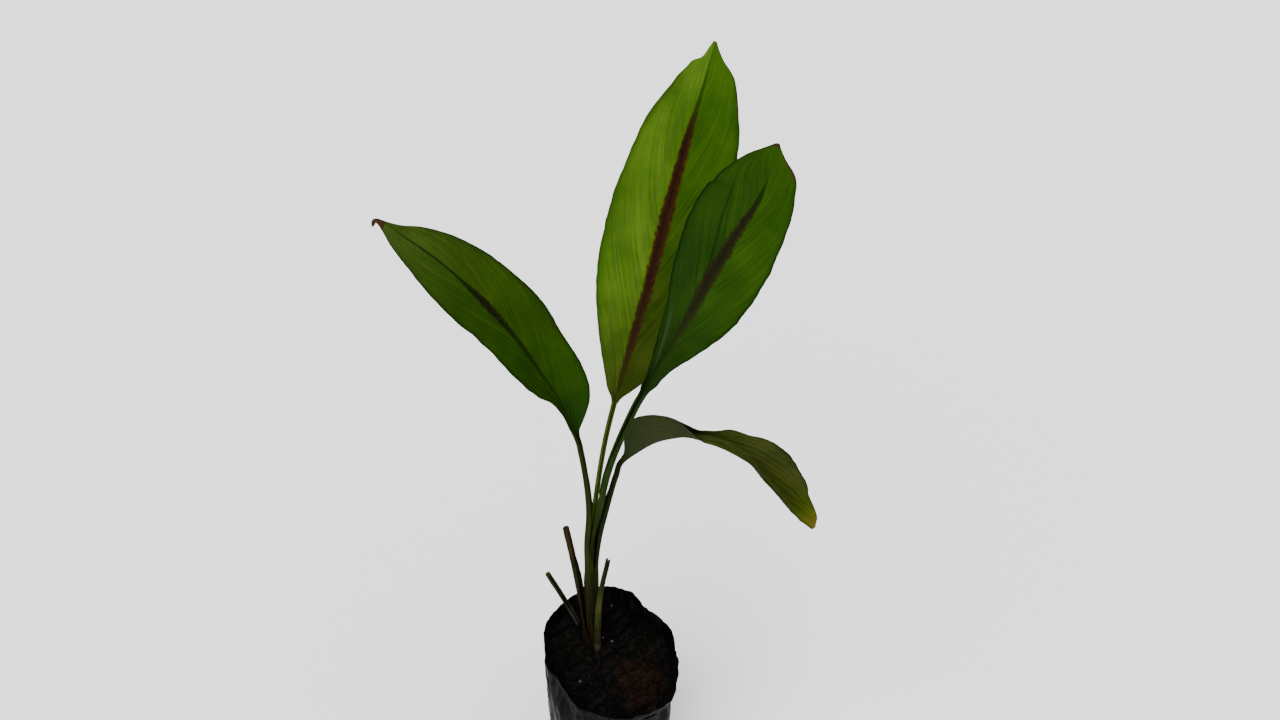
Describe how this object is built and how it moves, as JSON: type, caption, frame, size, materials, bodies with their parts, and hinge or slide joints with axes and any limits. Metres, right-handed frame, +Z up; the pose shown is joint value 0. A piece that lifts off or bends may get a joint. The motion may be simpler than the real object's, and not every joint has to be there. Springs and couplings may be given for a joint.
{
  "type": "potted black turmeric plant",
  "caption": "Young black turmeric plant: upright leaves with maroon midrib stripes on a sheathed stem, standing in soil in a thin film nursery bag.",
  "frame": {"origin": "middle of the bag's base, on the ground it stands on", "axes": "+Z up along the plant, +X to the right and +Y away from the viewer, as the picture shows it"},
  "size_m": [0.2545, 0.1126, 0.5773],
  "materials": {
    "film": "thin black polythene film, wrinkled, with a soft sheen",
    "soil": "dark crumbly potting soil",
    "rhizome": "dull ringed skin, bluish brown",
    "leaf": "satin green leaf with fine parallel veins and a maroon stripe along the midrib",
    "young_leaf": "satin yellow-green leaf with fine parallel veins and a maroon stripe along the midrib",
    "dry_stalk": "dull brown, dried or drying stalk"
  },
  "bodies": {
    "root": {"grow_bag": "film", "soil": "soil", "rhizome": "rhizome", "leaf_tall": "young_leaf", "leaf_front": "leaf", "leaf_left": "leaf", "leaf_drooping": "leaf", "old_sheath": "dry_stalk", "stub_front": "dry_stalk", "stub_side": "dry_stalk"}
  },
  "joints": []
}
